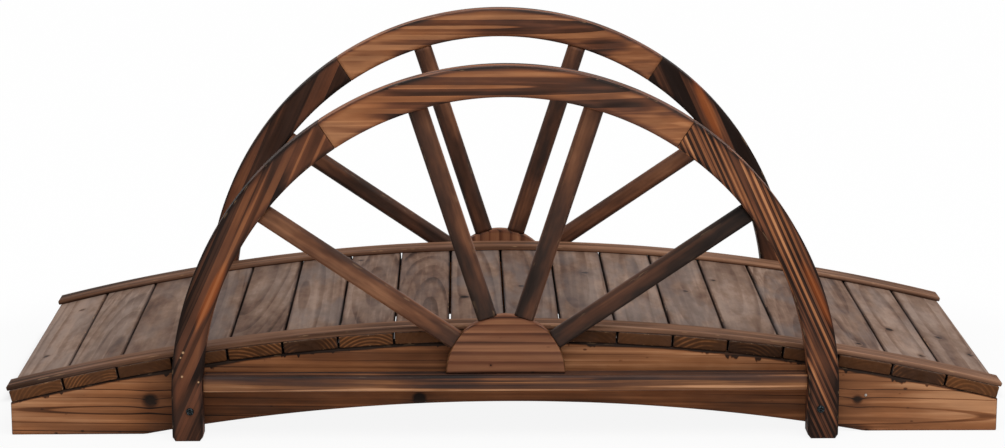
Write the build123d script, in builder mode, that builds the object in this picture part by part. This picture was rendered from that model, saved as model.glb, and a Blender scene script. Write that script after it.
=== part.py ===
from build123d import *
from math import asin, cos, degrees, hypot, radians, sin, sqrt
import os

# An arched garden footbridge of charred fir, with a railing like half a wagon wheel on each side.
# X runs along the walk, Y across it and Z up. The origin is on the ground, under the middle.

# Deck of planks laid across two arched side beams
bridge_length = 1500
deck_end_height = 68.5
deck_rise = 93
plank_count = 18
plank_length = 580
plank_thickness = 18
plank_gap = 3.3
plank_edge_radius = 1.5

# Side beams, flat at both feet and arched between them
beam_thickness = 38
beam_end_setback = 4
beam_foot_length = 201
beam_arch_rise = 49
beam_edge_radius = 2

# Trim strips bent over the plank ends
trim_width = 45
trim_thickness = 7
trim_overhang = 3
trim_edge_chamfer = 1.5
trim_corner_radius = 5

# Wheel rims, each a crown piece and two legs that meet at radial joints
rim_outer_radius = 500
rim_width = 46
rim_thickness = 38
rim_centre_height = 67
rim_joint_angle = 56.5
rim_edge_chamfer = 2.5
foot_corner_radius = 7

# Rails between the legs, hubs that stand on them, and spokes from hub to rim
rail_bottom_height = 74
rail_height = 24
rail_depth = 32
rail_edge_radius = 2.5
hub_radius = 90
hub_thickness = 20
hub_edge_chamfer = 2.5
spoke_width = 30
spoke_depth = 20
spoke_edge_radius = 6
spoke_tip_angles = (37.5, 73.3, 106.7, 142.5)

# Room left where curved faces seat on each other, and the overrun of every cut
seat_clearance = 0.1
cut_overrun = 20

# Sizes that follow from those above
half_length = bridge_length / 2
half_width = plank_length / 2
deck_crown_height = deck_end_height + deck_rise
deck_radius = (half_length**2 + deck_rise**2) / (2 * deck_rise)
deck_centre_height = deck_crown_height - deck_radius
deck_half_angle = degrees(asin(half_length / deck_radius))
plank_pitch_angle = 2 * deck_half_angle / plank_count
plank_width = radians(plank_pitch_angle) * deck_radius - plank_gap
beam_half_length = half_length - beam_end_setback
beam_arch_half_span = beam_half_length - beam_foot_length
beam_top_radius = deck_radius - plank_thickness
trim_inner_radius = hypot(deck_radius, plank_width / 2) + seat_clearance
trim_outer_radius = trim_inner_radius + trim_thickness
trim_half_angle = degrees(asin((half_length + trim_overhang) / trim_outer_radius))
rim_inner_radius = rim_outer_radius - rim_width
hub_base_height = rail_bottom_height + rail_height
rail_top_drop = max(0, hub_base_height - rim_centre_height)
rail_half_length = sqrt(rim_inner_radius**2 - rail_top_drop**2) - seat_clearance
sides = ("front", "back")


def inner_plane(side, depth):
    """The upright plane from which a piece of this depth fills the space inside a plank end."""
    return Plane.XZ.offset(half_width - depth if side == "front" else -half_width)


def outer_plane(side, depth):
    """The upright plane from which a piece of this depth fills the space outside a plank end."""
    return Plane.XZ.offset(half_width if side == "front" else -half_width - depth)


def deck_height(radius, x):
    """Height of a curve concentric with the deck, at a distance along the bridge."""
    return deck_centre_height + sqrt(radius**2 - x**2)


def write_piece(piece, name):
    piece.part.label = name
    export_step(piece.part, f"parts/{name}.step")


def make_plank(turn):
    """One flat board, tilted to lie on the arch at this angle from the crown."""
    middle_radius = deck_radius - plank_thickness / 2
    middle_x = middle_radius * sin(radians(turn))
    middle_z = deck_centre_height + middle_radius * cos(radians(turn))
    with BuildPart() as plank:
        with BuildSketch(Plane.XZ.offset(-half_width)):
            with Locations(Location((middle_x, middle_z), -turn)):
                RectangleRounded(plank_width, plank_thickness, plank_edge_radius)
        extrude(amount=plank_length)
    return plank


def make_beam(side):
    """A side beam: two flat feet, an arch between them, and a top that follows the deck."""
    end_height = deck_height(beam_top_radius, beam_half_length)
    with BuildPart() as beam:
        with BuildSketch(inner_plane(side, beam_thickness)):
            with BuildLine():
                Line((-beam_half_length, 0), (-beam_arch_half_span, 0))
                ThreePointArc((-beam_arch_half_span, 0), (0, beam_arch_rise), (beam_arch_half_span, 0))
                Line((beam_arch_half_span, 0), (beam_half_length, 0))
                Line((beam_half_length, 0), (beam_half_length, end_height))
                ThreePointArc(
                    (beam_half_length, end_height),
                    (0, deck_crown_height - plank_thickness),
                    (-beam_half_length, end_height),
                )
                Line((-beam_half_length, end_height), (-beam_half_length, 0))
            make_face()
        extrude(amount=beam_thickness)
        fillet(beam.edges().filter_by(Axis.Z), beam_edge_radius)
    return beam


def make_trim(side):
    """A thin strip bent over the plank ends, eased along its top edges and at its corners."""
    with BuildPart() as trim:
        with BuildSketch(inner_plane(side, trim_width)):
            with BuildLine():
                start_angle = 90 - trim_half_angle
                centre = (0, deck_centre_height)
                upper = CenterArc(centre, trim_outer_radius, start_angle, 2 * trim_half_angle)
                lower = CenterArc(centre, trim_inner_radius, start_angle, 2 * trim_half_angle)
                Line(upper @ 0, lower @ 0)
                Line(upper @ 1, lower @ 1)
            make_face()
        extrude(amount=trim_width)
        upright_edges = trim.edges().filter_by(GeomType.LINE).filter_by(Axis.Y, reverse=True)
        fillet(upright_edges, trim_corner_radius)
        top_face = trim.faces().sort_by(Axis.Z)[-1]
        chamfer(top_face.edges().filter_by(GeomType.CIRCLE).sort_by(SortBy.LENGTH)[-2:], trim_edge_chamfer)
    return trim


def make_rim_crown(side):
    """The top piece of a wheel rim, cut on radial lines at both ends."""
    with BuildPart() as crown:
        with BuildSketch(outer_plane(side, rim_thickness)):
            with BuildLine():
                centre = (0, rim_centre_height)
                sweep_angle = 180 - 2 * rim_joint_angle
                outside = CenterArc(centre, rim_outer_radius, rim_joint_angle, sweep_angle)
                inside = CenterArc(centre, rim_inner_radius, rim_joint_angle, sweep_angle)
                Line(outside @ 0, inside @ 0)
                Line(outside @ 1, inside @ 1)
            make_face()
        extrude(amount=rim_thickness)
        chamfer(crown.edges().filter_by(GeomType.CIRCLE), rim_edge_chamfer)
    return crown


def make_leg(side, direction):
    """A rim leg: an arc from the joint down to the rim's centre height, then straight to the ground."""
    with BuildPart() as leg:
        with BuildSketch(outer_plane(side, rim_thickness)) as outline:
            with BuildLine():
                centre = (0, rim_centre_height)
                level_angle = 0 if direction > 0 else 180
                outside = CenterArc(centre, rim_outer_radius, level_angle, direction * rim_joint_angle)
                inside = CenterArc(centre, rim_inner_radius, level_angle, direction * rim_joint_angle)
                Line(outside @ 1, inside @ 1)
                Polyline(
                    outside @ 0,
                    (direction * rim_outer_radius, 0),
                    (direction * rim_inner_radius, 0),
                    inside @ 0,
                )
            make_face()
            fillet(outline.vertices().group_by(Axis.Y)[0], foot_corner_radius)
        extrude(amount=rim_thickness)
        joint_face = leg.faces().sort_by(Axis.X)[0 if direction > 0 else -1]
        across_edges = leg.edges().filter_by(Axis.Y)
        chamfer(leg.edges() - across_edges - joint_face.edges(), rim_edge_chamfer)
    return leg


def make_rail(side):
    """A straight bar between the legs of one wheel."""
    with BuildPart() as rail:
        with BuildSketch(outer_plane(side, rail_depth)):
            with Locations((0, rail_bottom_height + rail_height / 2)):
                Rectangle(2 * rail_half_length, rail_height)
        extrude(amount=rail_depth)
        outer_face = rail.faces().sort_by(Axis.Y)[0 if side == "front" else -1]
        fillet(outer_face.edges().filter_by(Axis.X), rail_edge_radius)
    return rail


def make_hub(side):
    """A half disc that stands on the rail, eased round its outer face."""
    with BuildPart() as hub:
        with BuildSketch(outer_plane(side, hub_thickness)):
            with BuildLine():
                CenterArc((0, hub_base_height), hub_radius, 0, 180)
                Line((-hub_radius, hub_base_height), (hub_radius, hub_base_height))
            make_face()
        extrude(amount=hub_thickness)
        outer_face = hub.faces().sort_by(Axis.Y)[0 if side == "front" else -1]
        chamfer(outer_face.edges(), hub_edge_chamfer)
    return hub


def make_spoke(side, tip_angle):
    """A round-edged bar aimed from the hub's centre, its ends cut to the hub's and the rim's curves."""
    tip_x = rim_inner_radius * cos(radians(tip_angle))
    tip_z = rim_centre_height + rim_inner_radius * sin(radians(tip_angle))
    aim = Vector(tip_x, 0, tip_z - hub_base_height)
    middle_y = half_width + spoke_depth / 2
    foot = (0, -middle_y if side == "front" else middle_y, hub_base_height)
    with BuildPart() as spoke:
        with BuildSketch(Plane(origin=foot, x_dir=(0, 1, 0), z_dir=aim)):
            RectangleRounded(spoke_depth, spoke_width, spoke_edge_radius)
        extrude(amount=aim.length + cut_overrun)
        with BuildSketch(outer_plane(side, spoke_depth)):
            with Locations((0, rim_centre_height)):
                Circle(rim_inner_radius - seat_clearance)
            with Locations((0, hub_base_height)):
                Circle(hub_radius + seat_clearance, mode=Mode.SUBTRACT)
        extrude(amount=spoke_depth, mode=Mode.INTERSECT)
    return spoke


os.makedirs("parts", exist_ok=True)

for number in range(plank_count):
    plank_turn = (number - (plank_count - 1) / 2) * plank_pitch_angle
    write_piece(make_plank(plank_turn), f"plank_{number + 1:02d}")

for side in sides:
    write_piece(make_beam(side), f"{side}_beam")
    write_piece(make_trim(side), f"{side}_trim")
    write_piece(make_rim_crown(side), f"{side}_rim_crown")
    write_piece(make_leg(side, -1), f"{side}_left_leg")
    write_piece(make_leg(side, 1), f"{side}_right_leg")
    write_piece(make_rail(side), f"{side}_rail")
    write_piece(make_hub(side), f"{side}_hub")
    for number, tip_angle in enumerate(spoke_tip_angles, start=1):
        write_piece(make_spoke(side, tip_angle), f"{side}_spoke_{number}")
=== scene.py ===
"""Looks of an arched garden footbridge of charred fir with half-wheel railings.

Every timber starts as a subdivided block with eased, worn edges. A Geometry Nodes tree then bends the block
to the piece's own rule: a plank, a spoke cut to two curves, a strip on an arc, a rim leg, an arched beam or
a half disc. The trees also store each point's place in the log that the piece was sawn from, and the wood
finishes read that.
"""

import itertools
import math
import random
from functools import partialmethod

import bpy
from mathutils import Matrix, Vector


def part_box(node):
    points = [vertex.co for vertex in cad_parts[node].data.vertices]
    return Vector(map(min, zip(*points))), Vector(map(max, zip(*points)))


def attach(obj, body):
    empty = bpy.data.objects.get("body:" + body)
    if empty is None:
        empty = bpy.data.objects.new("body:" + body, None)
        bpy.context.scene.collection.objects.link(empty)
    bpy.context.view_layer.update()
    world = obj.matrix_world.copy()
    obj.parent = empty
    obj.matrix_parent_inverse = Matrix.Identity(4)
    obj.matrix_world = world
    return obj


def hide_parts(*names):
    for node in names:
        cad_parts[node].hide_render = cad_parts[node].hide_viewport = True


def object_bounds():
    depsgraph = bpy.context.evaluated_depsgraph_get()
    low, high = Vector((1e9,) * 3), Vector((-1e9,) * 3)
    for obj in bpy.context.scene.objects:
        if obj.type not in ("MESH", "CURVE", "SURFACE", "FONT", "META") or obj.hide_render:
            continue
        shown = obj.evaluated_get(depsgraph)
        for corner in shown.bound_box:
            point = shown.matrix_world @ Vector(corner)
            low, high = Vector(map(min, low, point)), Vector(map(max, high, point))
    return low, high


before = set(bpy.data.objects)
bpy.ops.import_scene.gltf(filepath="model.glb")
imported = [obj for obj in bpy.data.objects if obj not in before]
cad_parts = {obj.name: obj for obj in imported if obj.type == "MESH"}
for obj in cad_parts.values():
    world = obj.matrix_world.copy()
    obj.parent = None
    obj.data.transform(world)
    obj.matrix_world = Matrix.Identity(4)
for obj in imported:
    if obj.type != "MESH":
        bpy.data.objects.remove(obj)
cad_low, cad_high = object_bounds()

# Sizes of the bridge in metres, read from the frame where a box shows them
BEAM_LOW, BEAM_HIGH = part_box("back_beam")
LEG_LOW, LEG_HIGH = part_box("back_right_leg")
RAIL_LOW, RAIL_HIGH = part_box("back_rail")
HUB_LOW, HUB_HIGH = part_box("back_hub")
SPOKE_LOW, SPOKE_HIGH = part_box("back_spoke_1")
TRIM_LOW, TRIM_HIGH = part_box("back_trim")
CROWN_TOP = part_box("back_rim_crown")[1].z

HALF_WIDTH = BEAM_HIGH.y
DECK_HALF_LENGTH = 0.75
DECK_RISE = 0.093
DECK_RADIUS = (DECK_HALF_LENGTH**2 + DECK_RISE**2) / (2 * DECK_RISE)
PLANK_COUNT = 18
PLANK_THICKNESS = 0.018
PLANK_GAP = 0.0033
PLANK_PITCH = 2 * math.asin(DECK_HALF_LENGTH / DECK_RADIUS) / PLANK_COUNT
PLANK_WIDTH = PLANK_PITCH * DECK_RADIUS - PLANK_GAP
DECK_MIDDLE_Z = BEAM_HIGH.z + PLANK_THICKNESS - DECK_RADIUS
BEAM_FOOT = 0.201
BEAM_ARCH_RISE = 0.049
TRIM_THICKNESS = 0.007
TRIM_RADIUS = TRIM_HIGH.z - TRIM_THICKNESS / 2 - DECK_MIDDLE_Z
RIM_WIDTH = 0.046
RIM_OUTER = LEG_HIGH.x
RIM_MIDDLE_RADIUS = RIM_OUTER - RIM_WIDTH / 2
RIM_INNER = RIM_OUTER - RIM_WIDTH
RIM_THICKNESS = LEG_HIGH.y - LEG_LOW.y
RIM_CENTRE_Z = CROWN_TOP - RIM_OUTER
RIM_JOINT = math.radians(56.5)
LEG_FOOT_ROUNDING = 0.008
SPOKE_WIDTH = 0.030
SPOKE_TIPS = [math.radians(angle) for angle in (37.5, 73.3, 106.7, 142.5)]
HUB_RADIUS = HUB_HIGH.z - HUB_LOW.z
SIDES = {"front": -1, "back": 1}

WOOD_SEED = 5
WORLD_LIGHT = 0.42
WHITE = (1.0, 1.0, 1.0)
SEEN_RAYS = ("Is Camera Ray", "Is Glossy Ray", "Is Transmission Ray")


class Wire:
    """A node's output that takes part in arithmetic; each operation adds a node to its bench."""

    def __init__(self, bench, socket):
        self.bench = bench
        self.socket = socket

    @property
    def is_vector(self):
        return self.socket.type in ("VECTOR", "RGBA")

    def maths(self, operation, *others):
        return self.bench.maths(operation, self, *others)

    __add__ = __radd__ = partialmethod(maths, "ADD")
    __sub__ = partialmethod(maths, "SUBTRACT")
    __mul__ = partialmethod(maths, "MULTIPLY")
    __truediv__ = partialmethod(maths, "DIVIDE")
    at_least = partialmethod(maths, "MAXIMUM")
    at_most = partialmethod(maths, "MINIMUM")
    size = partialmethod(maths, "ABSOLUTE")
    sign = partialmethod(maths, "SIGN")
    root = partialmethod(maths, "SQRT")
    sine = partialmethod(maths, "SINE")
    cosine = partialmethod(maths, "COSINE")
    whole = partialmethod(maths, "FLOOR")
    fraction = partialmethod(maths, "FRACT")

    def __rsub__(self, other):
        return self.bench.maths("SUBTRACT", other, self)

    def __rtruediv__(self, other):
        return self.bench.maths("DIVIDE", other, self)

    def fade(self, start, end):
        """A smooth step from 0 at start to 1 at end."""
        sockets = {"Value": self, "From Min": start, "From Max": end}
        return self.bench.node("ShaderNodeMapRange", sockets, interpolation_type="SMOOTHSTEP")

    def split(self):
        made = self.bench.node("ShaderNodeSeparateXYZ", {0: self}).socket.node
        return [Wire(self.bench, output) for output in made.outputs]


class Bench:
    """A node tree that is being built, one node at a time."""

    def __init__(self, tree):
        self.tree = tree

    def node(self, kind, sockets=None, out=0, **settings):
        """Adds a node: its settings first, then the values or links of its sockets."""
        made = self.tree.nodes.new(kind)
        for name, value in settings.items():
            if name == "stops":
                self.set_stops(made.color_ramp, value)
            else:
                setattr(made, name, value)
        for key, value in (sockets or {}).items():
            self.plug(made.inputs[key], value)
        return Wire(self, made.outputs[out]) if len(made.outputs) else made

    def plug(self, socket, value):
        if isinstance(value, Wire):
            self.tree.links.new(value.socket, socket)
        elif socket.type in ("VECTOR", "RGBA") and isinstance(value, (int, float)):
            socket.default_value = [value] * len(socket.default_value)
        elif socket.type == "RGBA" and len(value) == 3:
            socket.default_value = (*value, 1.0)
        else:
            socket.default_value = value

    def set_stops(self, ramp, stops):
        while len(ramp.elements) < len(stops):
            ramp.elements.new(1.0)
        for element, (place, colour) in zip(ramp.elements, stops):
            element.position = place
            element.color = (*colour, 1.0)

    def maths(self, operation, *operands):
        """Adds a Math node, or a Vector Math node where an operand is a vector."""
        vectors = any(getattr(o, "is_vector", isinstance(o, (tuple, Vector))) for o in operands)
        kind = "ShaderNodeVectorMath" if vectors else "ShaderNodeMath"
        return self.node(kind, dict(enumerate(operands)), operation=operation)

    def join(self, x, y, z):
        return self.node("ShaderNodeCombineXYZ", {0: x, 1: y, 2: z})

    def noise(self, place, detail=2.0, roughness=0.5):
        sockets = {"Vector": place, "Scale": 1.0, "Detail": detail, "Roughness": roughness}
        return self.node("ShaderNodeTexNoise", sockets)

    def spots(self, place, core, rim):
        """Scattered spots, one in each cell: 1 inside the core radius and 0 beyond the rim."""
        apart = self.node("ShaderNodeTexVoronoi", {"Vector": place, "Scale": 1.0}, out="Distance")
        return 1.0 - apart.fade(core, rim)

    def blend(self, share, first, second, mode="MIX"):
        """Mixes two colours; share 0 is all first and share 1 all second."""
        sockets = {0: share, 6: first, 7: second}
        return self.node("ShaderNodeMix", sockets, out=2, data_type="RGBA", blend_type=mode)


# Shapes of the timbers, as Geometry Nodes trees

NUMBER = "NodeSocketFloat"
COUNT = "NodeSocketInt"
PLACE = "NodeSocketVector"
SHAPE = "NodeSocketGeometry"
FINISH = "NodeSocketMaterial"
KNOTS = ("First Knot", "Second Knot", "Third Knot", "Fourth Knot")
# A long patch that the torch missed, and one that it burnt twice
PATCHES = ("Flame", "Scorch")
# Numbers that a piece passes on to its finish
LOOKS = ("Tone", "Grey", "Ring Gap", "Ring Shift", "End Tone", "End Rings", "Light Lines", "Scuffs")
BLOCK_NUMBERS = (
    "Length", "Width", "Thickness", "Edge Radius", "End Radius", "Wear", "Seed", "Char", "Char Ends",
    "Char Along", "Char Up", "Band Fade", *LOOKS, "Grain Turn", "Grain Lean", "Bow", "Bow Middle",
)
BLOCK_INPUTS = {
    **dict.fromkeys(BLOCK_NUMBERS, NUMBER),
    **dict.fromkeys(("Steps Along", "Steps Across", "Steps Deep"), COUNT),
    **dict.fromkeys(("Pith", *PATCHES, *KNOTS), PLACE),
    "Finish": FINISH,
}

# Layers of points that turn round each eased edge, and how soon a corner is full
EDGE_LAYERS = 2
CORNER_REACH = 0.4
# Wear: its scale in a block, its shares on corners and faces, and its seed's step
WEAR_SCALE = (18.0, 60.0, 60.0)
CORNER_WEAR = 1.6
FACE_WEAR = 0.25
SEED_STEP = 7.3
# Shares of the half length between which a piece's ends get their own char and bands
CHAR_ENDS_SPAN = (0.5, 1.0)
BAND_ENDS_SPAN = (0.45, 0.8)


def start_tree(name, inputs):
    """A new tree with these named inputs, and its inputs as wires."""
    tree = bpy.data.node_groups.new(name, "GeometryNodeTree")
    for label, kind in inputs.items():
        tree.interface.new_socket(label, in_out="INPUT", socket_type=kind)
    tree.interface.new_socket("Geometry", in_out="OUTPUT", socket_type=SHAPE)
    bench = Bench(tree)
    source = tree.nodes.new("NodeGroupInput")
    return bench, {label: Wire(bench, source.outputs[label]) for label in inputs}


def end_tree(bench, geometry, finish):
    """Realizes what is left as instances, gives it its finish and ends the tree."""
    realized = bench.node("GeometryNodeRealizeInstances", {"Geometry": geometry})
    dressed = bench.node("GeometryNodeSetMaterial", {"Geometry": realized, "Material": finish})
    bench.node("NodeGroupOutput", {"Geometry": dressed})
    return bench.tree


def eased_block(bench, given):
    """A block of the given size whose edges turn through a radius and have lost a little wood.

    Returns the raw mesh, each point's eased place along, across and through the block, and three marks:
    how far a point faces an end, how near it is to a corner, and how far it lies in from the long edges.
    """
    sizes = [given["Length"], given["Width"], given["Thickness"]]
    counts = [given["Steps Along"], given["Steps Across"], given["Steps Deep"]]
    radii = [given["End Radius"], given["Edge Radius"], given["Edge Radius"]]
    sockets = {"Vertices X": counts[0], "Vertices Y": counts[1], "Vertices Z": counts[2]}
    block = bench.node("GeometryNodeMeshCube", {"Size": bench.join(*sizes), **sockets})
    raw = bench.node("GeometryNodeInputPosition")
    cores, turns, signs = [], [], []
    for place, size, count, radius in zip(raw.split(), sizes, counts, radii):
        half = size / 2
        layer = size / (count - 1.0) * EDGE_LAYERS
        inner = half - layer
        away = place.size()
        cores.append(away.at_most(inner) * (half - radius) / inner)
        turns.append((away - inner).at_least(0.0) / layer)
        signs.append(place.sign())
    reach = (turns[0] * turns[0] + turns[1] * turns[1] + turns[2] * turns[2]).root()
    corner = ((reach - 1.0) / CORNER_REACH).at_most(1.0)
    spot = raw + given["Seed"] * SEED_STEP
    lost = bench.noise(spot * WEAR_SCALE, detail=3.0) * (corner * CORNER_WEAR + FACE_WEAR) * given["Wear"]
    kept = [radii[0], radii[1] - lost, radii[2] - lost]
    reaches = [core + turn / reach * radius for core, turn, radius in zip(cores, turns, kept)]
    inset = (sizes[1] / 2 - reaches[1]).at_least(sizes[2] / 2 - reaches[2])
    places = [sign * away for sign, away in zip(signs, reaches)]
    return block, places, {"end": turns[0] / reach, "corner": corner, "inset": inset}


def log_place(bench, given, x, y, z):
    """A point's place in the log: along it, and across it from the pith of a stem that leans and bows."""
    turn = given["Grain Turn"]
    along = x * turn.cosine() + y * turn.sine()
    across = y * turn.cosine() - x * turn.sine()
    off = along - given["Bow Middle"]
    leaning = across + off * given["Grain Lean"]
    bowed = z + off * off * given["Bow"]
    return bench.join(along, leaning, bowed) - given["Pith"]


def mark(bench, geometry, name, value):
    kind = "FLOAT_VECTOR" if value.is_vector else "FLOAT"
    sockets = {"Geometry": geometry, "Name": name, "Value": value}
    return bench.node("GeometryNodeStoreNamedAttribute", sockets, data_type=kind, domain="POINT")


def timber_tree(name, extra_inputs, shape):
    """A tree for one kind of timber; shape turns a block's place into the bridge's and the log's places."""
    bench, given = start_tree(name, {**BLOCK_INPUTS, **extra_inputs})
    geometry, places, marks = eased_block(bench, given)
    final, log = shape(bench, given, *places)
    lengthwise = places[0] / given["Length"] * 2.0
    upwards = places[2] / given["Thickness"] * 2.0
    char = given["Char"] + given["Char Ends"] * lengthwise.size().fade(*CHAR_ENDS_SPAN)
    marks["char"] = char + given["Char Along"] * lengthwise + given["Char Up"] * upwards
    outer = lengthwise.size().fade(*BAND_ENDS_SPAN)
    faded = (given["Band Fade"] * outer).at_least(given["Band Fade"] * (outer - 1.0))
    marks["bands"] = 1.0 - faded
    marks["up"] = upwards
    marks["grain"] = log
    for label in PATCHES + KNOTS + LOOKS:
        marks[label] = given[label]
    for label, value in marks.items():
        geometry = mark(bench, geometry, label, value)
    geometry = bench.node("GeometryNodeSetPosition", {"Geometry": geometry, "Position": final})
    geometry = bench.node("GeometryNodeSetShadeSmooth", {"Geometry": geometry})
    return end_tree(bench, geometry, given["Finish"])


def straight_shape(bench, given, x, y, z):
    """A straight bar, laid along three given directions."""
    final = given["Middle"] + given["Along"] * x + given["Across"] * y + given["Up"] * z
    return final, log_place(bench, given, x, y, z)


def spoke_shape(bench, given, x, y, z):
    """A straight bar from the hub's curve to the rim's, each end cut to the curve that it meets."""
    aim, rise = given["Aim"], given["Rise"]
    hub_radius, rim_radius = given["Hub Radius"], given["Rim Radius"]
    start = (hub_radius * hub_radius - z * z).root()
    lead = rise * aim.sine()
    inside = rim_radius * rim_radius - rise * rise - z * z - z * rise * aim.cosine() * 2.0
    finish = (inside + lead * lead).root() - lead
    along = start + (finish - start) * (x / given["Length"] + 0.5)
    offset = bench.join(along * aim.cosine() - z * aim.sine(), y, along * aim.sine() + z * aim.cosine())
    return given["Middle"] + offset, log_place(bench, given, x, z, y)


def arc_point(bench, given, x, y, z):
    angle = given["Start"] + given["Sweep"] * (x / given["Length"] + 0.5)
    radius = given["Radius"] + z
    return given["Middle"] + bench.join(radius * angle.cosine(), y, radius * angle.sine())


def strip_shape(bench, given, x, y, z):
    """A thin strip bent on an arc, its grain bent with it."""
    return arc_point(bench, given, x, y, z), log_place(bench, given, x, y, z)


def crown_shape(bench, given, x, y, z):
    """A rim piece sawn to an arc out of a straight board, so that its grain stays straight."""
    final = arc_point(bench, given, x, y, z)
    px, py, pz = final.split()
    return final, log_place(bench, given, px, pz, py)


def leg_shape(bench, given, x, y, z):
    """A rim leg: straight up from a rounded foot, then on the rim's arc to the joint."""
    climbed = x + given["Length"] / 2
    rounding = given["Foot Rounding"]
    short = (rounding - climbed).at_least(0.0)
    rounded = (rounding * rounding - short * short).at_least(0.0).root()
    limit = given["Thickness"] / 2 - rounding + rounded
    inset = z.at_most(limit).at_least(limit * -1.0)
    above = climbed - given["Straight"]
    angle = above.at_least(0.0) / given["Radius"]
    radius = given["Radius"] + inset
    height = radius * angle.sine() + above.at_most(0.0)
    final = given["Middle"] + bench.join(given["Side"] * radius * angle.cosine(), y, height)
    px, py, pz = final.split()
    return final, log_place(bench, given, px, pz, py)


def beam_shape(bench, given, x, y, z):
    """A beam whose top follows the deck's arc and whose underside is an arch between two flat feet."""
    top_radius, arch_radius = given["Top Radius"], given["Arch Radius"]
    top = (top_radius * top_radius - x * x).root() - top_radius + given["Crown"]
    arch = (arch_radius * arch_radius - x * x).root() - arch_radius + given["Arch Rise"]
    bottom = arch.at_least(0.0)
    height = bottom + (top - bottom) * (z / given["Thickness"] + 0.5)
    final = given["Middle"] + bench.join(x, y, height)
    return final, log_place(bench, given, x, height, y)


def half_disc_shape(bench, given, x, y, z):
    """A half disc: the block's two sides and top become its arc."""
    radius = given["Thickness"]
    wide = x / radius
    tall = z / radius + 0.5
    flat_x = wide * (1.0 - tall * tall / 2).root() * radius
    flat_z = tall * (1.0 - wide * wide / 2).root() * radius
    final = given["Middle"] + bench.join(flat_x, y, flat_z)
    return final, log_place(bench, given, flat_x, flat_z, y)


def fastener_tree():
    """Round heads with a cross recess, one on each given place, facing outwards from the bridge."""
    rows = 25
    dome_fullness = 1.04
    rim_span, rim_drop = (0.96, 1.0), 0.5
    arm_width_span, arm_length_span = (0.08, 0.17), (0.48, 0.6)
    inputs = {
        "Places": SHAPE, "Head Radius": NUMBER, "Head Height": NUMBER, "Recess": NUMBER, "Finish": FINISH,
    }
    bench, given = start_tree("fastener_heads", inputs)
    sheet = bench.node(
        "GeometryNodeMeshGrid", {"Size X": 2, "Size Y": 2, "Vertices X": rows, "Vertices Y": rows}
    )
    x, y, _ = bench.node("GeometryNodeInputPosition").split()
    u = x * (1.0 - y * y / 2).root()
    v = y * (1.0 - x * x / 2).root()
    spread = u * u + v * v
    dome = (dome_fullness - spread * spread).at_least(0.0).root() - spread.fade(*rim_span) * rim_drop
    narrow = u.size().at_most(v.size())
    wide = u.size().at_least(v.size())
    cross = (1.0 - narrow.fade(*arm_width_span)) * (1.0 - wide.fade(*arm_length_span))
    height = dome * given["Head Height"] - cross * given["Recess"]
    place = bench.join(u * given["Head Radius"], v * given["Head Radius"], height)
    head = bench.node("GeometryNodeSetPosition", {"Geometry": sheet, "Position": place})
    head = bench.node("GeometryNodeSetShadeSmooth", {"Geometry": head})
    _, side, _ = bench.node("GeometryNodeInputPosition").split()
    outwards = bench.join(0.0, side.sign(), 0.0)
    turn = bench.node("FunctionNodeAlignRotationToVector", {"Vector": outwards}, axis="Z")
    heads = bench.node(
        "GeometryNodeInstanceOnPoints", {"Points": given["Places"], "Instance": head, "Rotation": turn}
    )
    return end_tree(bench, heads, given["Finish"])


def placed(*numbers):
    """The inputs of a shape that has a middle and these numbers."""
    return {"Middle": PLACE, **dict.fromkeys(numbers, NUMBER)}


def build_trees():
    directions = dict.fromkeys(("Middle", "Along", "Across", "Up"), PLACE)
    return {
        "straight": timber_tree("straight_timber", directions, straight_shape),
        "spoke": timber_tree(
            "spoke_timber", placed("Aim", "Rise", "Hub Radius", "Rim Radius"), spoke_shape
        ),
        "strip": timber_tree("bent_strip", placed("Radius", "Start", "Sweep"), strip_shape),
        "crown": timber_tree("rim_crown", placed("Radius", "Start", "Sweep"), crown_shape),
        "leg": timber_tree("rim_leg", placed("Radius", "Side", "Straight", "Foot Rounding"), leg_shape),
        "beam": timber_tree(
            "arched_beam", placed("Top Radius", "Crown", "Arch Radius", "Arch Rise"), beam_shape
        ),
        "half_disc": timber_tree("half_disc", placed(), half_disc_shape),
        "fastener": fastener_tree(),
    }


def make_piece(name, tree, values, places=()):
    """Runs a tree once with these inputs and keeps the result as a plain mesh."""
    start = bpy.data.meshes.new(name)
    start.from_pydata(places, [], [])
    piece = bpy.data.objects.new(name, start)
    bpy.context.scene.collection.objects.link(piece)
    modifier = piece.modifiers.new("shape", "NODES")
    modifier.node_group = tree
    for item in tree.interface.items_tree:
        if item.in_out == "INPUT" and item.name in values:
            modifier[item.identifier] = values[item.name]
    depsgraph = bpy.context.evaluated_depsgraph_get()
    depsgraph.update()
    mesh = bpy.data.meshes.new_from_object(piece.evaluated_get(depsgraph))
    mesh.name = name
    piece.modifiers.remove(modifier)
    piece.data = mesh
    return piece


# Finishes

# Mean and usual range of a noise
NOISE_MEAN = 0.5
NOISE_RANGE = (0.3, 0.7)

# Knots: the knot and its halo in knot radii, how soon rings straighten beside one, and how dark it is
KNOT_STRETCH = 1.1
KNOT_SPAN = (0.3, 1.25)
HALO_SPAN = (0.7, 3.2)
KNOT_GRIP = 0.6
KNOT_BURN = 0.6
HALO_BURN = 0.12

# Patches that the torch missed or burnt twice: their length, and their ragged edges in patch radii
FLAME_STRETCH = 7.0
FLAME_SPAN = (0.4, 1.0)
FLAME_COLOUR = "984b20"
SCORCH_STRETCH = 5.0
SCORCH_SPAN = (0.4, 1.1)
SCORCH_BURN = 0.35
PATCH_RAGGED = 0.9

# Growth rings: their waves in metres, where they break off, how they differ, and where they fade out
RIPPLE_DEPTH = 0.0018
RING_BREAK_SPAN = (0.3, 0.55)
RING_SPREAD = 0.7
BAND_SPAN = (0.1, 0.8)

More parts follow.
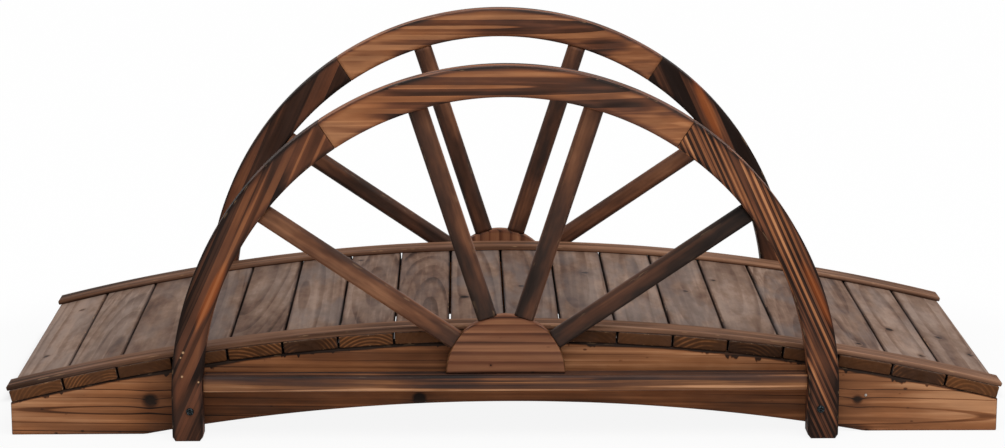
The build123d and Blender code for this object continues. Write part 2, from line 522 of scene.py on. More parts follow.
# Burns: what every piece loses, ragged edges, and where light lines, notches, specks and grey start. The
# band along a beam's top is painted shadow under the planks, and the planks' darker sides are painted
# shade.
CHAR_OFFSET = 0.15
EDGE_RAGGED = 0.012
LIGHT_LINE_SPAN = (0.53, 0.64)
NOTCH_SPAN = (0.56, 0.68)
TOP_RAGGED = 0.2
TOP_FULL = 0.96
SIDE_SPAN = (0.6, 0.95)
SPECK_SCALE = (38.0, 75.0, 75.0)
SPECK_PATCH_SPAN = (0.5, 0.6)
GREY_SPAN = (0.4, 0.62)

# Sawn ends: where they start on an eased edge, and their rings, which stand closer than on the faces
END_SPAN = (0.15, 0.6)
END_COVER = 0.9
END_DARK = "22140d"
END_LIGHT = "9c643c"
END_RING_CLOSENESS = 1.9
END_RING_RISE = (0.4, 0.7)
END_RING_FALL = (0.75, 1.0)
END_RING_PATCH_SPAN = (0.4, 0.62)
END_RING_LIGHT = 0.6
END_CLOUD_OFFSET = 0.4

# Raw chips on worn corners, and the range of a piece's own tone
CHIP_SPAN = (0.6, 0.68)
CHIP_COLOUR = "d2a87e"
TONE_LOW = 0.7
TONE_SPREAD = 0.6

# Relief of each mark, the relief's depth in metres, and what dulls the surface
RING_RELIEF = 0.5
LINE_RELIEF = 0.6
STREAK_RELIEF = 0.4
KNOT_RELIEF = 0.2
RELIEF_DEPTH = 0.0012
BURN_DULLNESS = 0.1
LINE_DULLNESS = 0.2
DULLNESS_OFFSET = 0.15
DULLEST = 0.95


def tint(code):
    """A colour written as six hexadecimal digits, as the linear values that shaders take."""
    parts = [int(code[n : n + 2], 16) / 255 for n in (0, 2, 4)]
    return tuple(p / 12.92 if p <= 0.04045 else ((p + 0.055) / 1.055) ** 2.4 for p in parts)


def even_stops(*codes):
    """Ramp stops at even steps, from raw wood to char."""
    return [(number / (len(codes) - 1), tint(code)) for number, code in enumerate(codes)]


def new_material(name):
    material = bpy.data.materials.new(name)
    material.use_nodes = True
    material.node_tree.nodes.clear()
    return material, Bench(material.node_tree)


def attribute(bench, name, out="Fac"):
    return bench.node("ShaderNodeAttribute", out=out, attribute_name=name)


def centred(noise):
    """A noise drawn out to run from minus one half to one half."""
    return noise.fade(*NOISE_RANGE) - NOISE_MEAN


def spot_distance(bench, x, y, label, stretch):
    """Distance from a knot or patch, which is stored as its place and radius, in such radii."""
    spot_x, spot_y, radius = attribute(bench, label, "Vector").split()
    along = (x - spot_x) / stretch
    across = y - spot_y
    return (along * along + across * across).root() / radius


def knot_marks(bench, x, y):
    """How much of a spot is knot, how much is the halo of one, and how far knots push the rings there."""
    knot, halo, push = 0.0, 0.0, 0.0
    for label in KNOTS:
        away = spot_distance(bench, x, y, label, KNOT_STRETCH)
        push = push + 1.0 / (1.0 + away * away * KNOT_GRIP)
        knot = knot + 1.0 - away.fade(*KNOT_SPAN)
        halo = halo + 1.0 - away.fade(*HALO_SPAN)
    return knot, halo, push


def dark_rings(bench, phase, broken, start, rise, end, breaks):
    """The dark part of each growth ring, which differs from ring to ring and breaks off in places."""
    ring_share = bench.node("ShaderNodeTexWhiteNoise", {"W": phase.whole()}, noise_dimensions="1D")
    turn = phase.fraction()
    latewood = turn.fade(start, start + rise) * (1.0 - turn.fade(end, 1.0))
    whole_share = (broken.fade(*RING_BREAK_SPAN) - 1.0) * breaks + 1.0
    return latewood * ((ring_share - 1.0) * breaks * RING_SPREAD + 1.0) * whole_share


def sawn_end(bench, rings, cloud):
    """The colour of a sawn end, from a spot's distance to the pith in rings."""
    turn = (rings * END_RING_CLOSENESS).fraction()
    ring = turn.fade(*END_RING_RISE) * (1.0 - turn.fade(*END_RING_FALL)) * cloud.fade(*END_RING_PATCH_SPAN)
    share = attribute(bench, "End Tone") * (cloud + END_CLOUD_OFFSET)
    share = share + ring * attribute(bench, "End Rings") * END_RING_LIGHT
    return bench.blend(share, tint(END_DARK), tint(END_LIGHT))


def end_material(bench, sockets):
    """Ends a material with one surface that has these values and links."""
    surface = bench.node("ShaderNodeBsdfPrincipled", sockets)
    bench.node("ShaderNodeOutputMaterial", {"Surface": surface})


def charred_fir(
    name, ramp, rings=0.4, ring_start=0.4, ring_rise=0.2, ring_end=0.93, ring_breaks=0.7,
    wander=0.012, swirl=0.4, uneven=0.5, streaks=0.3, fine=0.5, clouds=0.35, mottle=0.0, specks=0.0,
    edge_burn=0.25, edge_reach=0.007, top_burn=0.0, top_reach=0.88, notches=0.0, side_burn=0.0,
    grey="6e6a6b", chips=0.4, flame_lift=0.24, flame_glow=0.6, roughness=0.6, relief=0.5, shine=0.08,
):
    """Torched and brushed fir.

    Growth rings, streaks, clouds, knots and edges each add to how burnt a spot is, and painted shade adds
    to it along the beams' tops and on the planks' sides; the ramp turns that into a colour from raw wood to
    char.
    Grey weathering, end grain, raw chips and scuffs then go on top.
    """
    material, bench = new_material(name)
    grain = attribute(bench, "grain", "Vector")
    x, y, z = grain.split()
    ring_gap = attribute(bench, "Ring Gap")
    scuffs = attribute(bench, "Scuffs")

    def noise(along, across, detail=2.0, roughness=0.5, shift=0.0):
        """Noise in the log, with its scale along and across the grain."""
        place = grain * (along, across, across)
        return bench.noise(place + shift if shift else place, detail, roughness)

    drift = noise(along=1.3, across=7.0) - NOISE_MEAN
    ripple = noise(along=6.0, across=40.0) - NOISE_MEAN
    swelling = noise(along=0.9, across=20.0, detail=1.0) - NOISE_MEAN
    streak = noise(along=1.6, across=75.0, detail=3.0, roughness=0.6)
    line = noise(along=2.0, across=150.0, detail=1.0)
    broken = noise(along=3.0, across=35.0, shift=17.0)
    cloud = noise(along=4.0, across=14.0, detail=4.0, roughness=0.6)
    smudge = noise(along=7.0, across=24.0, detail=3.0, roughness=0.55, shift=31.0)
    ragged = (smudge - NOISE_MEAN) * PATCH_RAGGED

    knot, halo, push = knot_marks(bench, x, y)
    log_radius = (y * y + z * z).root() + drift * wander + ripple * RIPPLE_DEPTH
    phase = log_radius / ring_gap + push * (1.0 - scuffs) * swirl + swelling * uneven
    phase = phase + attribute(bench, "Ring Shift")
    latewood = dark_rings(bench, phase, broken, ring_start, ring_rise, ring_end, ring_breaks)
    latewood = latewood * (attribute(bench, "bands") + ragged).fade(*BAND_SPAN)
    flame = 1.0 - (spot_distance(bench, x, y, "Flame", FLAME_STRETCH) + ragged).fade(*FLAME_SPAN)
    scorch = 1.0 - (spot_distance(bench, x, y, "Scorch", SCORCH_STRETCH) + ragged).fade(*SCORCH_SPAN)

    inset = attribute(bench, "inset") + (cloud - NOISE_MEAN) * EDGE_RAGGED
    near_edge = 1.0 - inset.fade(0.0, edge_reach)
    burn = (attribute(bench, "char") - CHAR_OFFSET) + latewood * rings + centred(streak) * streaks
    burn = burn + centred(cloud) * clouds + near_edge * edge_burn
    burn = burn + (knot * KNOT_BURN + halo * HALO_BURN) * (1.0 - scuffs)
    burn = burn - line.fade(*LIGHT_LINE_SPAN) * attribute(bench, "Light Lines")
    burn = burn - flame * flame_lift + scorch * SCORCH_BURN
    # A darker band along the top: on the beams it is painted shadow under the planks, with dark chips in
    # it; on the rims it is char on the outer face.
    if top_burn:
        notch = noise(along=55.0, across=20.0, shift=5.0).fade(*NOTCH_SPAN)
        height = attribute(bench, "up") + (smudge - NOISE_MEAN) * TOP_RAGGED + notch * notches
        burn = burn + height.fade(top_reach, TOP_FULL) * top_burn
    # Darker on every face but the top: painted shade on the planks' sides and undersides, in the gaps
    # between them.
    if side_burn:
        burn = burn + (1.0 - attribute(bench, "up").fade(*SIDE_SPAN)) * side_burn
    if mottle:
        patch = noise(along=28.0, across=70.0, detail=3.0, roughness=0.6, shift=11.0)
        burn = burn + centred(patch) * mottle
    if specks:
        pins = bench.spots(grain * SPECK_SCALE, core=0.08, rim=0.16)
        burn = burn + pins * smudge.fade(*SPECK_PATCH_SPAN) * specks
    colour = bench.node("ShaderNodeValToRGB", {"Fac": burn}, stops=even_stops(*ramp))
    colour = bench.blend(smudge.fade(*GREY_SPAN) * attribute(bench, "Grey"), colour, tint(grey))
    colour = bench.blend(flame * flame_glow, colour, tint(FLAME_COLOUR))

    end = attribute(bench, "end").fade(*END_SPAN)
    colour = bench.blend(end * END_COVER, colour, sawn_end(bench, log_radius / ring_gap, cloud))
    chip = noise(along=45.0, across=170.0, shift=7.0).fade(*CHIP_SPAN)
    bare = (chip * attribute(bench, "corner") * chips).at_least(knot * scuffs)
    colour = bench.blend(bare, colour, tint(CHIP_COLOUR))
    shade = (line - NOISE_MEAN) * fine + 1.0
    shade = shade * (attribute(bench, "Tone") * TONE_SPREAD + TONE_LOW)
    colour = bench.blend(1.0, colour, bench.join(shade, shade, shade), "MULTIPLY")

    raised = latewood * RING_RELIEF + line * LINE_RELIEF + streak * STREAK_RELIEF - knot * KNOT_RELIEF
    bump = bench.node("ShaderNodeBump", {"Strength": relief, "Distance": RELIEF_DEPTH, "Height": raised})
    dullness = burn * BURN_DULLNESS + line * LINE_DULLNESS + (roughness - DULLNESS_OFFSET)
    sockets = {
        "Base Color": colour, "Roughness": dullness.at_most(DULLEST), "Normal": bump,
        "Specular IOR Level": shine,
    }
    end_material(bench, sockets)
    return material


def worn_steel(name, dark, bright):
    """Dull steel with worn, brighter spots, for screws and nails."""
    spot_scale, spot_detail, spot_span = 900.0, 3.0, (0.5, 0.72)
    roughness, worn_polish, metallic = 0.5, 0.15, 0.9
    material, bench = new_material(name)
    place = bench.node("ShaderNodeTexCoord", out="Object")
    worn = bench.noise(place * spot_scale, spot_detail).fade(*spot_span)
    colour = bench.blend(worn, tint(dark), tint(bright))
    sheen = roughness - worn * worn_polish
    end_material(bench, {"Base Color": colour, "Roughness": sheen, "Metallic": metallic})
    return material


def build_finishes():
    """A finish for each kind of timber, with five colours from raw wood to char."""
    return {
        # The deck planks' darker sides are painted shade in the gaps between them.
        "deck_plank": charred_fir(
            "weathered_deck_plank", ("a08778", "876d5d", "6d5447", "4d3a31", "211916"), rings=0.28,
            ring_start=0.5, ring_rise=0.35, wander=0.016, clouds=0.38, mottle=0.16, streaks=0.06, fine=0.3,
            edge_burn=0.35, edge_reach=0.0035, side_burn=0.6, grey="6d6868", chips=0.5, shine=0.05,
            roughness=0.7,
        ),
        # The side beam's dark top band is painted shadow under the planks, with dark chips in it.
        "side_beam": charred_fir(
            "oiled_side_beam", ("c48d64", "9f6843", "77492d", "4b2d1c", "1d130e"), rings=0.55,
            ring_start=0.85, ring_rise=0.04, ring_end=0.94, ring_breaks=0.6, wander=0.006, swirl=0.35,
            uneven=0.25, clouds=0.25, streaks=0.2, edge_burn=0.1, top_burn=0.75, notches=0.14, specks=0.5,
            chips=0.2, grey="5c4a40", flame_lift=0.2, flame_glow=0.0,
        ),
        "edge_trim": charred_fir(
            "edge_trim_strip", ("b0866a", "8f6850", "6f4e3b", "493327", "281d17"), rings=0.2,
            edge_burn=0.12, edge_reach=0.004, chips=0.5, clouds=0.3, shine=0.05, roughness=0.7,
        ),
        "wheel_rim": charred_fir(
            "torched_wheel_rim", ("c4875c", "a06642", "6f4430", "452d22", "241813"), rings=0.6,
            ring_start=0.4, ring_rise=0.06, ring_end=0.97, ring_breaks=0.68, uneven=0.8, wander=0.006,
            clouds=0.28, streaks=0.15, edge_burn=0.26, edge_reach=0.009, top_burn=0.25, top_reach=0.82,
            grey="4c4644", chips=0.35, relief=0.6,
        ),
        "rail": charred_fir(
            "streaked_rail", ("c9946d", "976541", "6b4530", "453029", "272120"), rings=0.2, ring_start=0.3,
            streaks=0.31, clouds=0.34, edge_burn=0.05, grey="4d4543", chips=0.1, relief=0.7, shine=0.12,
            roughness=0.5,
        ),
        "hub": charred_fir(
            "banded_hub", ("a77351", "895a40", "6b412e", "442a1f", "281a15"), rings=0.42, ring_start=0.45,
            ring_rise=0.45, ring_end=0.94, swirl=0.0, ring_breaks=0.35, wander=0.006, uneven=0.4,
            clouds=0.2, streaks=0.15, edge_burn=0.32, specks=0.25, grey="6a5a50", chips=0.15,
        ),
        "spoke": charred_fir(
            "smooth_dark_spoke", ("9e6d4e", "784e37", "543628", "34251e", "1d1512"), rings=0.05,
            clouds=0.75, streaks=0.08, edge_burn=0.2, edge_reach=0.006, grey="45403e", chips=0.15,
            relief=0.25, shine=0.12, roughness=0.5,
        ),
    }


# Pieces of the bridge

# Ranges of a piece's start in its log and of its seed, and a spot too far off to show
LOG_STARTS = (2.0, 60.0)
WEAR_SEEDS = (0.0, 9.0)
FAR_SPOT = (-9.0, 0.0, 0.01)
USUAL_LOOKS = {"Tone": 0.5, "Light Lines": 0.1, "End Tone": 0.3, "End Rings": 0.5}


def dress(node, tree, slot, values):
    """Makes a timber, hides its CAD node and gives the timber the finish kept under this slot."""
    piece = make_piece(f"{node}_timber", tree, {"Finish": finishes[slot], **values})
    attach(piece, "root")
    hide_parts(node)


def block(length, width, thickness, edge, end, wear, steps):
    """The block that a timber starts as: its size, edge and end radius, wear and steps of points."""
    return {
        "Length": length, "Width": width, "Thickness": thickness, "Edge Radius": edge, "End Radius": end,
        "Wear": wear, "Steps Along": steps[0], "Steps Across": steps[1], "Steps Deep": steps[2],
    }


def log(lot, pith, turn=0.0, lean=0.0, bow=0.0, bow_middle=0.0, knots=(), flame=(), scorch=()):
    """Where in its log a piece was cut, with knots and patches as their place along, across and radius."""
    start = lot.uniform(*LOG_STARTS)
    values = {
        "Seed": lot.uniform(*WEAR_SEEDS), "Pith": (-start, pith[0], pith[1]), "Grain Turn": turn,
        "Grain Lean": lean, "Bow": bow, "Bow Middle": bow_middle,
    }
    for label, spot in itertools.zip_longest(PATCHES + KNOTS, (flame, scorch, *knots)):
        values[label] = FAR_SPOT
        if spot:
            along, across, radius = spot
            values[label] = (start + along, across - pith[0] + (along - bow_middle) * lean, radius)
    return values


def looks(ring_gap, char=0.5, grey=0.0, **others):
    """How a piece is coloured: its ring spacing, how burnt and grey it is, and what others say by name."""
    plain = dict.fromkeys(("Char Ends", "Char Along", "Char Up", "Band Fade", *LOOKS), 0.0)
    named = {label.replace("_", " ").title(): value for label, value in others.items()}
    return {**plain, **USUAL_LOOKS, "Ring Gap": ring_gap, "Char": char, "Grey": grey, **named}


# How light the sawn end of each plank is, and how clearly its rings show there, from left to right
END_TONES = (
    (0.32, 0.3), (0.32, 0.8), (0.25, 0.3), (0.35, 0.2), (0.26, 1.0), (0.12, 0.6),
    (0.24, 0.9), (0.32, 0.2), (0.2, 0.3), (0.2, 0.4), (0.16, 0.1), (0.28, 0.1),
    (0.2, 0.9), (0.07, 0.3), (0.3, 0.2), (0.26, 0.2), (0.14, 1.0), (0.35, 0.5),
)
# How much more or less burnt than usual each plank is, and how much less the outer ones are
PLANK_BURNS = (
    -0.1, -0.05, 0.1, 0.05, 0.05, -0.05, 0.0, 0.05, 0.0,
    0.05, -0.1, -0.1, -0.1, -0.05, 0.1, 0.05, 0.0, -0.05,
)
OUTER_PLANK_FADE = 0.2


def make_deck(lot):
    knot_counts = (0, 0, 1, 1, 2)
    knot_along, knot_across, knot_radius = (-0.24, 0.24), (-0.03, 0.03), (0.004, 0.008)
    pith_across, pith_below = (-0.03, 0.03), (0.015, 0.05)
    middle_radius = DECK_RADIUS - PLANK_THICKNESS / 2
    for number in range(PLANK_COUNT):
        turn = (number - (PLANK_COUNT - 1) / 2) * PLANK_PITCH
        outer = (turn / PLANK_PITCH / PLANK_COUNT * 2) ** 2
        burn = PLANK_BURNS[number]
        end_tone, end_rings = END_TONES[number]
        up = Vector((math.sin(turn), 0, math.cos(turn)))
        knots = [
            (lot.uniform(*knot_along), lot.uniform(*knot_across), lot.uniform(*knot_radius))
            for _ in range(lot.choice(knot_counts))
        ]
        pith = (lot.uniform(*pith_across), -lot.uniform(*pith_below))
        values = {
            **block(
                2 * HALF_WIDTH, PLANK_WIDTH, PLANK_THICKNESS, edge=0.0018, end=0.0012, wear=0.0008,
                steps=(90, 20, 8),
            ),
            **log(
                lot, pith, lean=lot.uniform(-0.03, 0.03), bow=lot.uniform(0.0, 0.15),
                bow_middle=lot.uniform(-0.3, 0.3), knots=knots,
            ),
            **looks(
                ring_gap=lot.uniform(0.009, 0.014),
                char=lot.uniform(0.42, 0.54) - outer * OUTER_PLANK_FADE + burn,
                grey=lot.uniform(0.15, 0.5), tone=lot.uniform(0.4, 0.56),
                light_lines=lot.uniform(0.0, 0.12), end_tone=end_tone, end_rings=end_rings,
            ),
            "Middle": Vector((0, 0, DECK_MIDDLE_Z)) + up * middle_radius,
            "Along": (0, 1, 0), "Across": (up.z, 0, -up.x), "Up": up,
        }
        dress(f"plank_{number + 1:02d}", trees["straight"], "deck_plank", values)


def make_beam(side, lot):
    """A beam with its pith just inside the outer face, three knots and a dark patch low on its right foot.
    """
    sign = SIDES[side]
    half_length = BEAM_HIGH.x
    half_span = half_length - BEAM_FOOT
    thickness = BEAM_HIGH.y - BEAM_LOW.y
    block_height = 0.1
    pith_height, pith_depth = 0.034, 0.004
    knots = [(-0.536, 0.053, 0.012), (-0.13, 0.055, 0.01), (0.533, 0.05, 0.0075)]
    values = {
        **block(
            2 * half_length, thickness, block_height, edge=0.003, end=0.0015, wear=0.001,
            steps=(240, 12, 22),
        ),
        **log(
            lot, (pith_height, sign * (thickness / 2 - pith_depth)), lean=0.012, bow=sign * 0.02,
            bow_middle=-0.2, knots=knots, flame=(0.27, 0.115, 0.05), scorch=(0.517, 0.004, 0.010),
        ),
        # char_up darkens the beam towards its bottom: painted shade under the rail.
        **looks(
            ring_gap=0.012, char=0.62, grey=0.15, char_ends=-0.31, char_along=sign * 0.06, char_up=-0.12,
            band_fade=-0.62, ring_shift=0.18,
        ),
        "Middle": (0, sign * (HALF_WIDTH - thickness / 2), 0),
        "Top Radius": DECK_RADIUS - PLANK_THICKNESS, "Crown": BEAM_HIGH.z,
        "Arch Radius": (half_span**2 + BEAM_ARCH_RISE**2) / (2 * BEAM_ARCH_RISE),
        "Arch Rise": BEAM_ARCH_RISE,
    }
    dress(f"{side}_beam", trees["beam"], "side_beam", values)


def make_trim(side, lot):
    width = TRIM_HIGH.y - TRIM_LOW.y
    half_angle = math.asin(TRIM_HIGH.x / (TRIM_RADIUS + TRIM_THICKNESS / 2))
    pith = (0.01, -0.05)
    values = {
        **block(
            2 * half_angle * TRIM_RADIUS, width, TRIM_THICKNESS, edge=0.0018, end=0.0015, wear=0.0006,
            steps=(220, 12, 6),
        ),
        **log(lot, pith, lean=0.01),
        **looks(ring_gap=0.008, char=0.45, grey=0.08, char_ends=0.16, char_along=-0.16),
        "Middle": (0, SIDES[side] * (HALF_WIDTH - width / 2), DECK_MIDDLE_Z), "Radius": TRIM_RADIUS,
        "Start": math.pi / 2 + half_angle, "Sweep": -2 * half_angle,
    }
    dress(f"{side}_trim", trees["strip"], "edge_trim", values)


# How burnt the crown of each rim is
CROWN_CHARS = {"front": 0.37, "back": 0.25}
LEG_LOOKS = {
    "front_left_leg": looks(
        ring_gap=0.027, char=0.66, grey=0.08, ring_shift=0.8, light_lines=0.2, char_ends=0.14,
        char_along=-0.1, band_fade=0.8, scuffs=1.0,
    ),
    "front_right_leg": looks(
        ring_gap=0.0072, char=0.5, grey=0.05, char_ends=0.24, char_along=-0.16, light_lines=0.3
    ),
    "back_left_leg": looks(ring_gap=0.06, char=0.61, grey=0.1, light_lines=0.05),
    "back_right_leg": looks(ring_gap=0.04, char=0.8, grey=0.05, light_lines=0.1),
}
# Long patches on the legs that the torch missed: place along the bridge, height and radius of each
LEG_FLAMES = {
    "front_left_leg": (-0.437, 0.225, 0.0095),
    "front_right_leg": (0.4625, 0.226, 0.009),
    "back_right_leg": (0.355, 0.391, 0.011),
}
# Raw flecks, which show on the leg that is scuffed, in the same terms
LEG_FLECKS = (
    (-0.4806, 0.1378, 0.002), (-0.4845, 0.13, 0.0014),
    (-0.483, 0.1008, 0.0018), (-0.4587, 0.0922, 0.0015),
)


def rim_place(side):
    """The middle of a rim's circle, and where the rim's nearer face lies."""
    middle = Vector((0, SIDES[side] * (HALF_WIDTH + RIM_THICKNESS / 2), RIM_CENTRE_Z))
    return middle, -LEG_HIGH.y if side == "front" else LEG_LOW.y


def make_crown(side, lot):
    middle, face = rim_place(side)
    sweep = math.pi - 2 * RIM_JOINT
    pith_rise = 0.016
    values = {
        **block(
            sweep * RIM_MIDDLE_RADIUS, RIM_THICKNESS, RIM_WIDTH, edge=0.003, end=0.0008, wear=0.0012,
            steps=(120, 12, 14),
        ),
        **log(
            lot, (RIM_CENTRE_Z + RIM_INNER + pith_rise, face), bow=0.144, bow_middle=-0.1,
            scorch=(0.18, 0.506, 0.011),
        ),
        **looks(
            ring_gap=0.018, char=CROWN_CHARS[side], grey=0.2, char_ends=-0.05, char_along=0.12,
            band_fade=0.7, ring_shift=0.28,
        ),
        "Middle": middle, "Radius": RIM_MIDDLE_RADIUS, "Start": math.pi - RIM_JOINT, "Sweep": -sweep,
    }
    dress(f"{side}_rim_crown", trees["crown"], "wheel_rim", values)


def turn_spot(spot, angle):
    """A spot's place along and across a board that leans by this angle."""
    x, z, radius = spot
    cosine, sine = math.cos(angle), math.sin(angle)
    return x * cosine + z * sine, z * cosine - x * sine, radius


def make_legs(side, lot):
    """Two legs, each sawn from a board that leans from the leg's foot to its joint."""
    middle, face = rim_place(side)
    pith_off, pith_depth = 0.05, 0.004
    length = RIM_CENTRE_Z + RIM_JOINT * RIM_MIDDLE_RADIUS
    joint_z = RIM_CENTRE_Z + RIM_MIDDLE_RADIUS * math.sin(RIM_JOINT)
    for leg, direction in (("left_leg", -1), ("right_leg", 1)):
        node = f"{side}_{leg}"
        joint_x = direction * RIM_MIDDLE_RADIUS * math.cos(RIM_JOINT)
        foot_x = direction * RIM_MIDDLE_RADIUS
        chord = math.atan2(joint_z, joint_x - foot_x)
        foot_across = -math.sin(chord) * foot_x
        knots = [turn_spot(fleck, chord) for fleck in LEG_FLECKS]
        flame = turn_spot(LEG_FLAMES[node], chord) if node in LEG_FLAMES else ()
        values = {
            **block(
                length, RIM_THICKNESS, RIM_WIDTH, edge=0.003, end=0.0008, wear=0.0012, steps=(110, 12, 14)
            ),
            **log(lot, (foot_across - pith_off, face + pith_depth), turn=chord, knots=knots, flame=flame),
            **LEG_LOOKS[node],
            "Middle": middle, "Radius": RIM_MIDDLE_RADIUS, "Side": direction, "Straight": RIM_CENTRE_Z,
            "Foot Rounding": LEG_FOOT_ROUNDING,
        }
        dress(node, trees["leg"], "wheel_rim", values)


def make_rail(side, lot):
    depth = RAIL_HIGH.y - RAIL_LOW.y
    height = RAIL_HIGH.z - RAIL_LOW.z
    pith = (0.04, 0.03)
    values = {
        **block(
            RAIL_HIGH.x - RAIL_LOW.x, depth, height, edge=0.003, end=0.001, wear=0.0008, steps=(150, 12, 12)
        ),
        **log(lot, pith, lean=0.008, scorch=(-0.11, 0.0, 0.02)),
        **looks(
            ring_gap=0.006, char=0.58, grey=0.15, char_along=SIDES[side] * 0.05, char_up=0.25,
            light_lines=0.4,
        ),
        "Middle": (0, SIDES[side] * (HALF_WIDTH + depth / 2), RAIL_LOW.z + height / 2),
        "Along": (1, 0, 0), "Across": (0, 1, 0), "Up": (0, 0, 1),
    }
    dress(f"{side}_rail", trees["straight"], "rail", values)


def make_hub(side, lot):
    """A half disc with level grain on the near side and upright grain on the far one."""
    depth = HUB_HIGH.y - HUB_LOW.y
    turn = 0.0 if side == "front" else math.pi / 2
    pith_drop = 0.15
    brads = [(-0.0225, 0.0135, 0.0016), (0.0404, 0.001, 0.0016)]
    values = {
        **block(2 * HUB_RADIUS, depth, HUB_RADIUS, edge=0.003, end=0.003, wear=0.0008, steps=(50, 9, 30)),
        **log(lot, (-pith_drop, SIDES[side] * HALF_WIDTH), turn=turn, knots=brads),
        **looks(ring_gap=0.008, char=0.38, grey=0.1),
        "Middle": (0, SIDES[side] * (HALF_WIDTH + depth / 2), HUB_LOW.z),
    }
    dress(f"{side}_hub", trees["half_disc"], "hub", values)


# How burnt each spoke is, and how much more so towards its tip, from right to left
SPOKE_CHARS = {"front": (0.98, 0.66, 0.62, 0.44), "back": (0.7, 0.6, 0.62, 0.54)}
SPOKE_SLOPES = {"front": (0.16, -0.1, -0.06, -0.1), "back": (-0.1, -0.1, -0.1, -0.1)}


def make_spokes(side, lot):
    depth = SPOKE_HIGH.y - SPOKE_LOW.y
    rise = HUB_LOW.z - RIM_CENTRE_Z
    pith = (0.03, 0.03)
    for number, tip in enumerate(SPOKE_TIPS):
        tip_x = RIM_INNER * math.cos(tip)
        tip_z = RIM_INNER * math.sin(tip) - rise
        length = math.hypot(tip_x, tip_z) - HUB_RADIUS
        values = {
            **block(length, depth, SPOKE_WIDTH, edge=0.008, end=0.0008, wear=0.0006, steps=(80, 11, 14)),
            **log(lot, pith, lean=lot.uniform(-0.02, 0.02)),
            **looks(
                ring_gap=0.012, char=SPOKE_CHARS[side][number], grey=0.1, char_ends=0.1, light_lines=0.04,
                char_along=SPOKE_SLOPES[side][number],
            ),
            "Middle": (0, SIDES[side] * (HALF_WIDTH + depth / 2), HUB_LOW.z),
            "Aim": math.atan2(tip_z, tip_x), "Rise": rise,
            "Hub Radius": HUB_RADIUS, "Rim Radius": RIM_INNER,
        }
        dress(f"{side}_spoke_{number + 1}", trees["spoke"], "spoke", values)


def make_fasteners():
    """A round-headed screw low on each rim leg, and a nail beside one knot of each beam."""
    screw_x, screw_z = RIM_MIDDLE_RADIUS - 0.0045, 0.0465
    nail_x, nail_z = 0.5455, 0.057
    screw_radius, screw_recess, nail_radius = 0.006, 0.0018, 0.0022
    height_share = 0.45
    screws = [(x, y, screw_z) for x in (-screw_x, screw_x) for y in (-LEG_HIGH.y, LEG_HIGH.y)]
    nails = [(-sign * nail_x, sign * HALF_WIDTH, nail_z) for sign in SIDES.values()]
    black = worn_steel("blackened_steel", "101314", "5f6b70")
    plain = worn_steel("plain_steel", "9a938c", "d8d2ca")
    for name, slot, places, radius, recess, steel in (
        ("leg_screw_heads", "wheel_rim", screws, screw_radius, screw_recess, black),
        ("beam_nail_heads", "side_beam", nails, nail_radius, 0.0, plain),
    ):
        values = {
            "Head Radius": radius, "Head Height": radius * height_share, "Recess": recess, "Finish": steel,
        }
        piece = make_piece(name, trees["fastener"], values, places)
        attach(piece, "root")


# Floor, light and camera


def seen_share(bench):
    """1 for rays that show a surface directly or in a reflection, 0 for rays that only gather light."""
    rays = [bench.node("ShaderNodeLightPath", out=kind) for kind in SEEN_RAYS]
    return (rays[0] + rays[1] + rays[2]).at_most(1.0)


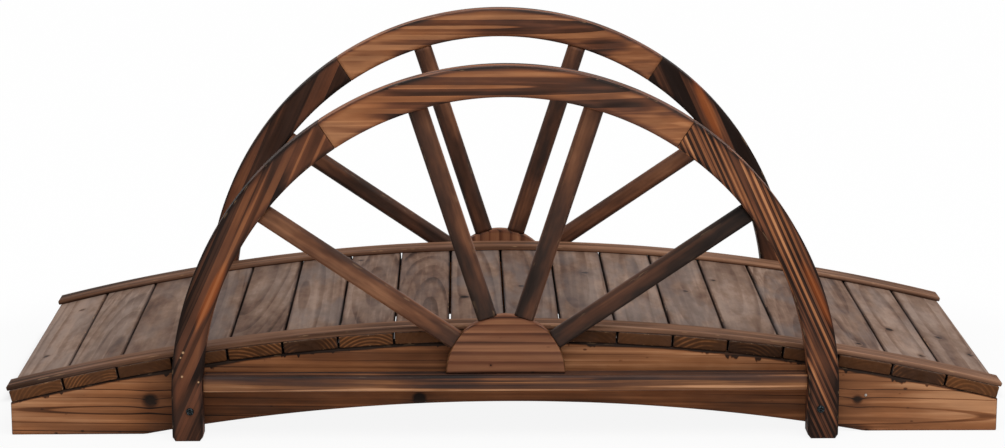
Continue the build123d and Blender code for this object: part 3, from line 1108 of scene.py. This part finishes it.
def make_floor():
    """A wide pale floor that keeps a soft shadow of the bridge and is plain white further out."""
    reach = 20.0
    pale = (0.86, 0.86, 0.86)
    front_span, side_span, far_span = (0.04, 0.12), (0.0, 0.05), (0.0, 0.4)
    open_white, far_white = 0.9, 0.09
    mesh = bpy.data.meshes.new("studio_floor")
    corners = [(-reach, -reach, 0), (reach, -reach, 0), (reach, reach, 0), (-reach, reach, 0)]
    mesh.from_pydata(corners, [], [(0, 1, 2, 3)])
    floor = bpy.data.objects.new("studio_floor", mesh)
    bpy.context.scene.collection.objects.link(floor)
    material, bench = new_material("pale_floor")
    x, y, _ = bench.node("ShaderNodeTexCoord", out="Object").split()
    beyond = (x.size() - cad_high.x).at_least(0.0) + (y.size() - cad_high.y).at_least(0.0)
    open_floor = (y * -1.0).fade(*front_span).at_least(beyond.fade(*side_span))
    share = seen_share(bench) * (open_floor * open_white + beyond.fade(*far_span) * far_white)
    diffuse = bench.node("ShaderNodeBsdfDiffuse", {"Color": pale})
    white = bench.node("ShaderNodeEmission", {"Color": WHITE, "Strength": 1.0})
    surface = bench.node("ShaderNodeMixShader", {0: share, 1: diffuse, 2: white})
    bench.node("ShaderNodeOutputMaterial", {"Surface": surface})
    mesh.materials.append(material)


def make_world():
    """Even studio white: plain white where it is seen, softer as light."""
    world = bpy.data.worlds.new("studio")
    world.use_nodes = True
    world.node_tree.nodes.clear()
    bench = Bench(world.node_tree)
    strength = seen_share(bench) * (1.0 - WORLD_LIGHT) + WORLD_LIGHT
    sky = bench.node("ShaderNodeBackground", {"Color": WHITE, "Strength": strength})
    bench.node("ShaderNodeOutputWorld", {"Surface": sky})
    bpy.context.scene.world = world


def make_lamp(name, place, target, width, power):
    lamp = bpy.data.lights.new(name, "AREA")
    lamp.shape = "SQUARE"
    lamp.size = width
    lamp.energy = power
    holder = bpy.data.objects.new(name, lamp)
    holder.location = place
    holder.rotation_euler = (Vector(target) - Vector(place)).to_track_quat("-Z", "Y").to_euler()
    bpy.context.scene.collection.objects.link(holder)


def make_camera():
    """The photograph's viewpoint, in metres, with its focal length in photograph pixels."""
    photo_width = 1005
    focal_pixels = 2668.8
    sensor = 36.0
    viewpoint = (-0.0661, -4.1737, 1.1699)
    yaw, pitch = 0.01584, 0.21444
    data = bpy.data.cameras.new("photo_camera")
    data.sensor_fit = "HORIZONTAL"
    data.sensor_width = sensor
    data.lens = focal_pixels * sensor / photo_width
    camera = bpy.data.objects.new("photo_camera", data)
    camera.location = viewpoint
    camera.rotation_euler = (math.pi / 2 - pitch, 0, -yaw)
    bpy.context.scene.collection.objects.link(camera)
    bpy.context.scene.camera = camera


trees = build_trees()
finishes = build_finishes()
lot = random.Random(WOOD_SEED)
make_deck(lot)
for side in SIDES:
    make_beam(side, lot)
    make_trim(side, lot)
    make_crown(side, lot)
    make_legs(side, lot)
    make_rail(side, lot)
    make_hub(side, lot)
    make_spokes(side, lot)
make_fasteners()

make_floor()
make_world()
make_lamp("overhead_softbox", place=(0.7, -1.3, 3.2), target=(0, 0, 0.2), width=2.6, power=72)
make_camera()

bpy.context.scene.view_settings.view_transform = "Standard"
